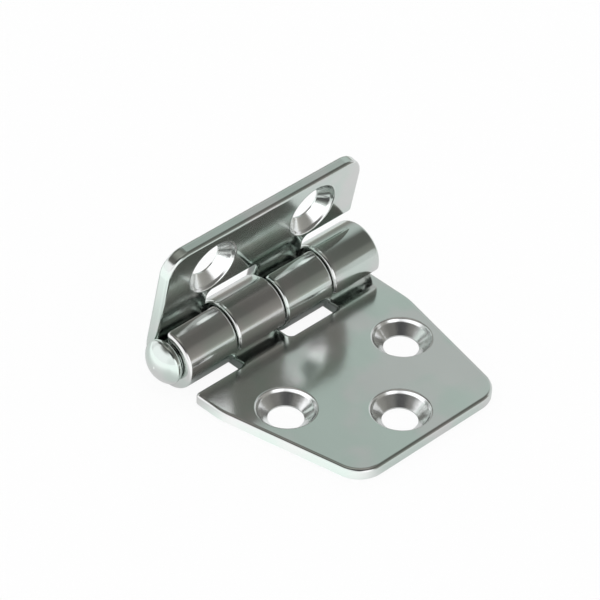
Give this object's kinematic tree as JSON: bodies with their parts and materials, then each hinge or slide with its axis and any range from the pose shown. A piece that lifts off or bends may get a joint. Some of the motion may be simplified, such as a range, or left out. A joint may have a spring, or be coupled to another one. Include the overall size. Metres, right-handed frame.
{
  "type": "short-side butt hinge",
  "caption": "Stamped and rolled stainless sheet hinge with a long tapered leaf, a short leaf and a headed pin, drilled and countersunk for screws.",
  "frame": {"origin": "on the long leaf's mounting face, midway between its two inner screw holes", "axes": "+X along the pin from its domed head to its riveted end, +Z out of the long leaf's front face, the long leaf reaching towards -Y"},
  "size_m": [0.0416, 0.0384, 0.0221],
  "materials": {
    "polished_sheet": "mirror polished stainless sheet",
    "polished_pin": "polished stainless rod"
  },
  "bodies": {
    "fixed_leaf": {"long_leaf": "polished_sheet", "hinge_pin": "polished_pin"},
    "swinging_leaf": {"short_leaf": "polished_sheet"}
  },
  "joints": [
    {"name": "leaf_swing", "type": "hinge", "parent": "fixed_leaf", "child": "swinging_leaf", "pos_m": [0, 0.0164, 0.0047], "axis": [-1, 0, 0], "range_deg": [-96, 197]}
  ]
}
